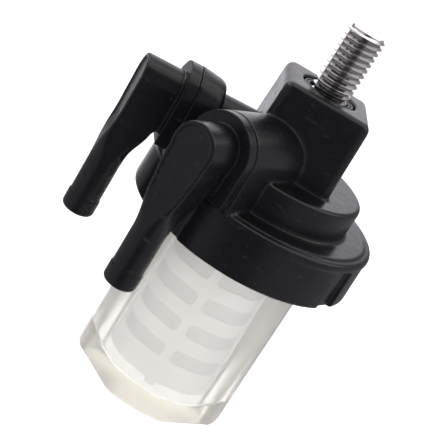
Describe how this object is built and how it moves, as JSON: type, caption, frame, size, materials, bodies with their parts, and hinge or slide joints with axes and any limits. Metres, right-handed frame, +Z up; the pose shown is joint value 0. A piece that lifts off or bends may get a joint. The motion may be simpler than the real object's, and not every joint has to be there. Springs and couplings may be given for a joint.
{
  "type": "fuel filter",
  "caption": "Small engine fuel filter: black head with a mounting stud and hose elbows, clear screw-in bowl, white strainer element inside.",
  "frame": {"origin": "centre of the bowl's flat underside, on the bowl's axis", "axes": "+Z up along the axis of the bowl and stud, X and Y square to the sides of the block under the stud; seen from above the inlet port points 170 and the outlet port 125 degrees clockwise from +X"},
  "size_m": [0.0598, 0.0557, 0.0869],
  "materials": {
    "black_plastic": "satin moulded",
    "stainless_steel": "bright rolled thread",
    "black_rubber": "smooth moulded",
    "clear_plastic": "clear, faintly yellow",
    "white_nylon": "milky white, satin",
    "strainer_mesh": "fine woven mesh"
  },
  "bodies": {
    "head": {"filter_head": "black_plastic", "mounting_stud": "stainless_steel", "stud_washer": "black_rubber", "inlet_elbow": "black_plastic", "outlet_elbow": "black_plastic", "element_frame": "white_nylon", "element_mesh": "strainer_mesh", "element_top_cap": "white_nylon", "element_o_ring": "black_rubber"},
    "bowl_seal": {"bowl_o_ring": "black_rubber"},
    "bowl": {"bowl": "clear_plastic"}
  },
  "joints": [
    {"name": "bowl_travel", "type": "slide", "parent": "head", "child": "bowl_seal", "axis": [0, 0, -1], "range_m": [0, 0.0075]},
    {"name": "bowl_turn", "type": "hinge", "parent": "bowl_seal", "child": "bowl", "pos_m": [0, 0, 0], "axis": [0, 0, -1], "range_deg": [0, 900]}
  ],
  "couplings": [
    {"joint": "bowl_travel", "follows": "bowl_turn", "m_per_rad": 0.00047746}
  ]
}
